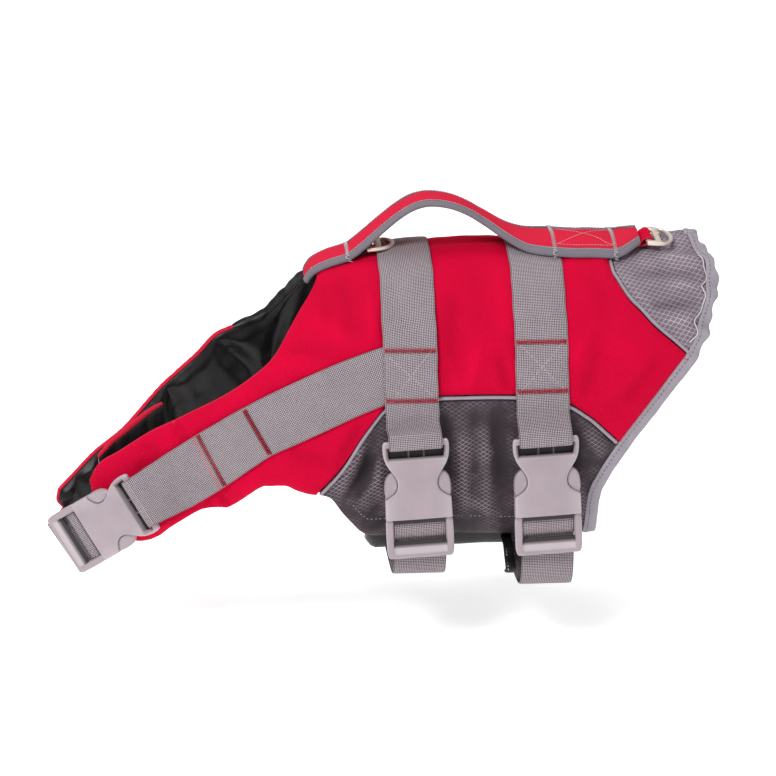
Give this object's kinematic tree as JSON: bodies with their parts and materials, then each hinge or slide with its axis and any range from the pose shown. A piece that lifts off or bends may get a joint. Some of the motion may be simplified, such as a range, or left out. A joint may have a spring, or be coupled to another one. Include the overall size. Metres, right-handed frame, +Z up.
{
  "type": "dog life jacket",
  "caption": "Padded cloth life jacket for a dog, filled out as worn, with a back handle, metal D-rings, and webbing straps round belly and chest closed by plastic buckles.",
  "frame": {"origin": "on the inner face of the lining, on the crest of the back, midway between the two girth straps, where the jacket rests on its wearer's back", "axes": "+X towards the tail, -X towards the head, -Y towards the side with the buckles (the wearer's left), +Z up"},
  "size_m": [0.5224, 0.1987, 0.302],
  "materials": {
    "red_canvas": "matt plain-weave polyester canvas",
    "rump_ripstop": "light grey ripstop with a fine diamond grid",
    "side_ripstop": "dark grey ripstop with a diamond grid and a soft sheen",
    "black_satin": "black lining cloth with a satin sheen",
    "grey_tape": "grey folded binding tape",
    "grey_webbing": "grey plain-weave polyester webbing",
    "grey_plastic": "satin warm-grey moulded plastic",
    "nickel": "satin nickel plate"
  },
  "bodies": {
    "root": {"back_panel": "red_canvas", "side_panel_near": "side_ripstop", "side_panel_far": "side_ripstop", "rump_panel": "rump_ripstop", "lining": "black_satin", "belly_panel": "black_satin", "piping_side_near": "grey_tape", "piping_side_far": "grey_tape", "piping_rump": "grey_tape", "rear_binding": "grey_tape", "girth_strap_front": "grey_webbing", "girth_strap_rear": "grey_webbing", "girth_loop_front": "grey_webbing", "girth_loop_rear": "grey_webbing", "chest_strap_near": "grey_webbing", "chest_strap_far": "grey_webbing", "buckle_socket_front": "grey_plastic", "buckle_prong_front": "grey_plastic", "buckle_socket_rear": "grey_plastic", "buckle_prong_rear": "grey_plastic", "buckle_socket_chest": "grey_plastic", "buckle_prong_chest": "grey_plastic", "handle_band": "red_canvas", "handle_binding_near": "grey_tape", "handle_binding_far": "grey_tape", "d_ring_tab_front": "grey_webbing", "d_ring_tab_rear": "grey_webbing", "chest_flap_fold": "red_canvas", "keeper_tab": "black_satin"},
    "ring_front": {"d_ring_front": "nickel"},
    "ring_rear": {"d_ring_rear": "nickel"}
  },
  "joints": [
    {"name": "front_ring_turn", "type": "hinge", "parent": "root", "child": "ring_front", "pos_m": [-0.0845, -0.003, 0.00594], "axis": [0, -1, 0], "range_deg": [0, 36]},
    {"name": "rear_ring_turn", "type": "hinge", "parent": "root", "child": "ring_rear", "pos_m": [0.13, -0.014, 0.01229], "axis": [0, -0.9877, -0.1564], "range_deg": [0, 136]}
  ]
}
